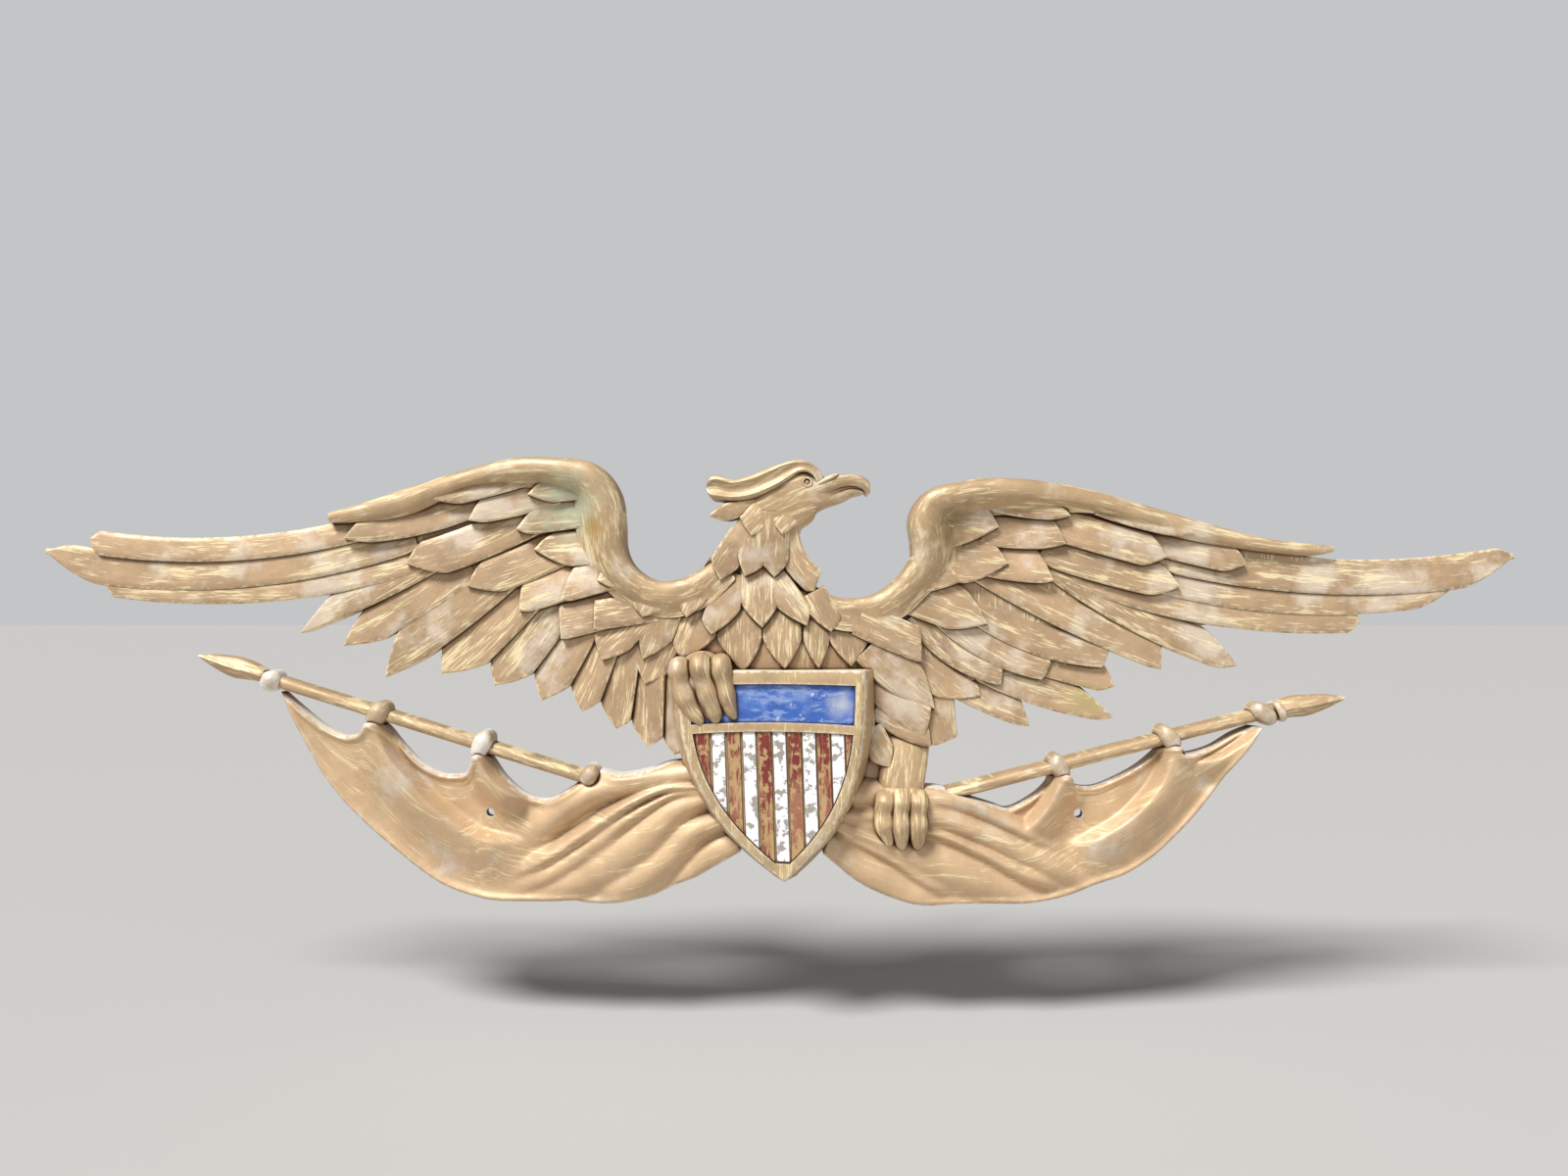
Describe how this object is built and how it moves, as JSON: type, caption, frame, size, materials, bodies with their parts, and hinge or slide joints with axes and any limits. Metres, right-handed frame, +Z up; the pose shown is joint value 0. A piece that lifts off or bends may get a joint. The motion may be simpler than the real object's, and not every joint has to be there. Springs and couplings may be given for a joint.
{
  "type": "eagle wall plaque",
  "caption": "Relief eagle with spread wings over a striped shield, its claws on staffs with draped flags; a flat-backed painted casting to hang on a wall.",
  "frame": {"origin": "on the flat back, 46 mm below the middle line of the spread wings, where the plaque rests on the wall", "axes": "+Z up as it hangs, +X to the right as seen from the front, the relief stands towards -Y"},
  "size_m": [0.691, 0.0282, 0.2094],
  "materials": {
    "painted_casting": "worn satin paint"
  },
  "bodies": {
    "root": {"eagle_plaque": "painted_casting"}
  },
  "joints": []
}
